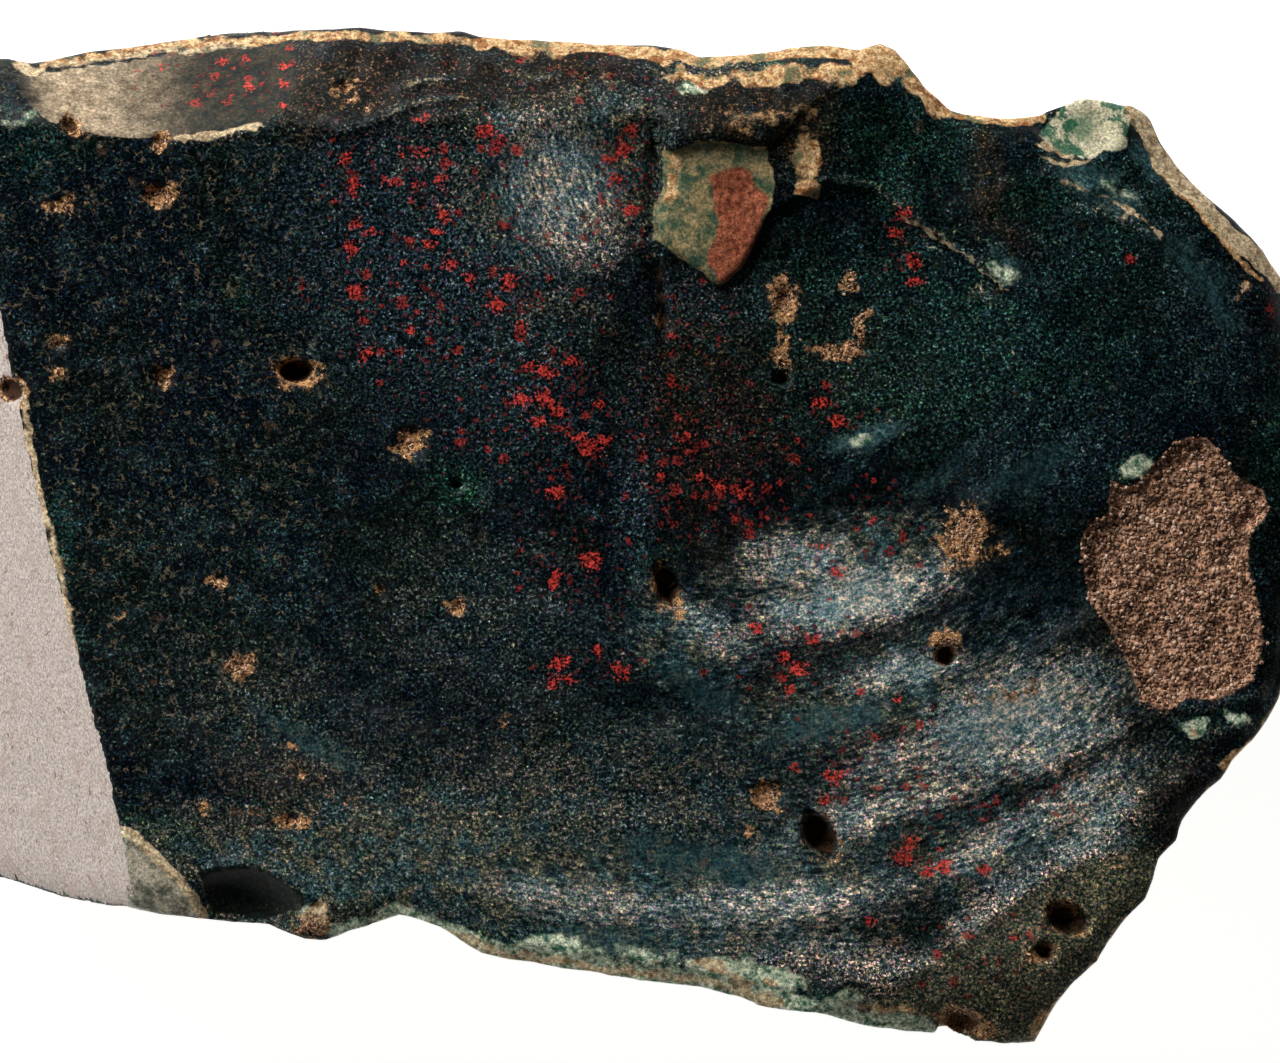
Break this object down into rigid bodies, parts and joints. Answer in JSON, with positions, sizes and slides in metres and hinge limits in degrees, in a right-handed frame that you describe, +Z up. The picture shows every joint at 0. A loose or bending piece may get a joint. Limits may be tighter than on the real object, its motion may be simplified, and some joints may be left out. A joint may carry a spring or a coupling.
{
  "type": "bloodstone",
  "caption": "Bloodstone hand specimen: a broken lump of dark green chalcedony with red flecks, brown vugs and a sawn end",
  "frame": {"origin": "under the middle of the bounding box, on the surface that the stone rests on", "axes": "+X along the stone towards its thin end, away from the sawn end; +Y across it; +Z up, out of the broad fracture face"},
  "size_m": [0.0824, 0.0562, 0.0276],
  "materials": {
    "chalcedony": "waxy broken stone"
  },
  "bodies": {
    "root": {"bloodstone": "chalcedony"}
  },
  "joints": []
}
